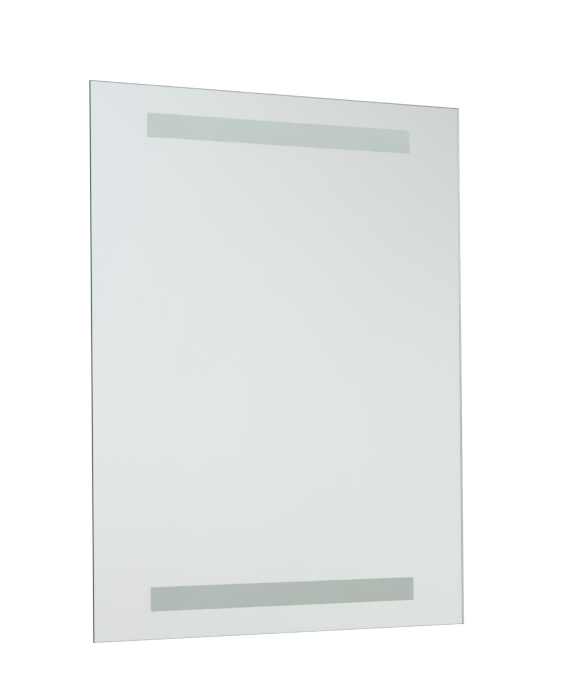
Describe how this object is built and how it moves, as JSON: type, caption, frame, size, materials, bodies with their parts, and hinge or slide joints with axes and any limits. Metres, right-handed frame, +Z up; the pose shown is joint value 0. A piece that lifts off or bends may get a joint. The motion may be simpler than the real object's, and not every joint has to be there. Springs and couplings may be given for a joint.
{
  "type": "lighted bathroom mirror",
  "caption": "Frameless rectangular wall mirror with an etched light strip along its top and bottom edge and a slim light case behind the glass that swings open for relamping.",
  "frame": {"origin": "middle of the flat back that rests on the wall", "axes": "+X to the right of the person looking into the mirror, +Y into the wall, +Z up"},
  "size_m": [0.6, 0.05, 0.8],
  "materials": {
    "clear_glass": "clear float glass with a slight green tint, polished edges",
    "mirror_silver": "silvered, grey protective paint on the back",
    "etched_glass": "etched, matt and translucent",
    "foam_tape": "white closed-cell foam tape",
    "zinc_steel": "zinc plated sheet",
    "white_powder_coat": "white powder coat, fine texture",
    "black_foam": "open-cell black foam",
    "screw_steel": "bright zinc plated",
    "rivet_aluminium": "satin",
    "white_enamel": "glossy white reflector enamel",
    "white_plastic": "moulded, slightly glossy",
    "lamp_glass": "glass tube with a white powder coat inside",
    "cap_aluminium": "drawn aluminium",
    "brass": "plain brass",
    "ballast_white": "white lacquered can",
    "circuit_board": "green board",
    "component_black": "moulded components",
    "grey_plastic": "moulded",
    "natural_plastic": "natural nylon",
    "black_rubber": "moulded rubber",
    "tinned_copper": "tinned",
    "black_plastic": "moulded, satin",
    "lead_white": "insulation",
    "lead_brown": "insulation",
    "lead_blue": "insulation",
    "lead_green_yellow": "insulation with two colours"
  },
  "bodies": {
    "chassis": {"ballast_base": "zinc_steel", "ballast_board": "circuit_board", "ballast_components": "component_black", "ballast_cover": "ballast_white", "ballast_screws": "screw_steel", "ballast_terminals": "grey_plastic", "block_fixing_screws": "screw_steel", "cable_grommet": "black_rubber", "clamp_screws": "screw_steel", "cord_clamp": "grey_plastic", "ear_rivets": "rivet_aluminium", "earth_lead": "lead_green_yellow", "earth_nuts": "brass", "earth_ring_tag": "tinned_copper", "earth_stud": "screw_steel", "hinge_ears": "zinc_steel", "lamp_contacts": "brass", "lampholder_screws": "screw_steel", "lead_clips": "natural_plastic", "live_leads": "lead_brown", "lower_lamp_leads": "lead_white", "lower_lampholders": "white_plastic", "lower_reflector": "white_enamel", "neutral_lead": "lead_blue", "pivot_studs": "screw_steel", "rear_chassis": "white_powder_coat", "reflector_rivets": "rivet_aluminium", "retaining_screws": "screw_steel", "rim_gasket": "black_foam", "rivet_nuts": "screw_steel", "switch_housing": "black_plastic", "switch_tabs": "brass", "tab_sleeves": "natural_plastic", "terminal_block": "natural_plastic", "terminal_screws": "brass", "upper_lamp_leads": "lead_white", "upper_lampholders": "white_plastic", "upper_reflector": "white_enamel"},
    "front": {"mirror_glass": "clear_glass", "mirror_silvering": "mirror_silver", "etched_windows": "etched_glass", "bonding_tape": "foam_tape", "carrier_frame": "zinc_steel"},
    "upper_lamp": {"upper_rotors": "white_plastic", "upper_lamp_tube": "lamp_glass", "upper_lamp_caps": "cap_aluminium", "upper_lamp_pins": "brass"},
    "lower_lamp": {"lower_rotors": "white_plastic", "lower_lamp_tube": "lamp_glass", "lower_lamp_caps": "cap_aluminium", "lower_lamp_pins": "brass"},
    "rocker": {"switch_rocker": "black_plastic"}
  },
  "joints": [
    {"name": "front_swing", "type": "hinge", "parent": "chassis", "child": "front", "pos_m": [0, -0.0385, 0.376], "axis": [-1, 0, 0], "range_deg": [0, 45]},
    {"name": "upper_lamp_twist", "type": "hinge", "parent": "chassis", "child": "upper_lamp", "pos_m": [0, -0.024, 0.342], "axis": [1, 0, 0], "range_deg": [0, 90]},
    {"name": "lower_lamp_twist", "type": "hinge", "parent": "chassis", "child": "lower_lamp", "pos_m": [0, -0.024, -0.342], "axis": [1, 0, 0], "range_deg": [0, 90]},
    {"name": "switch_rock", "type": "hinge", "parent": "chassis", "child": "rocker", "pos_m": [0.242, -0.011, -0.367], "axis": [0, 1, 0], "range_deg": [0, 24]}
  ]
}
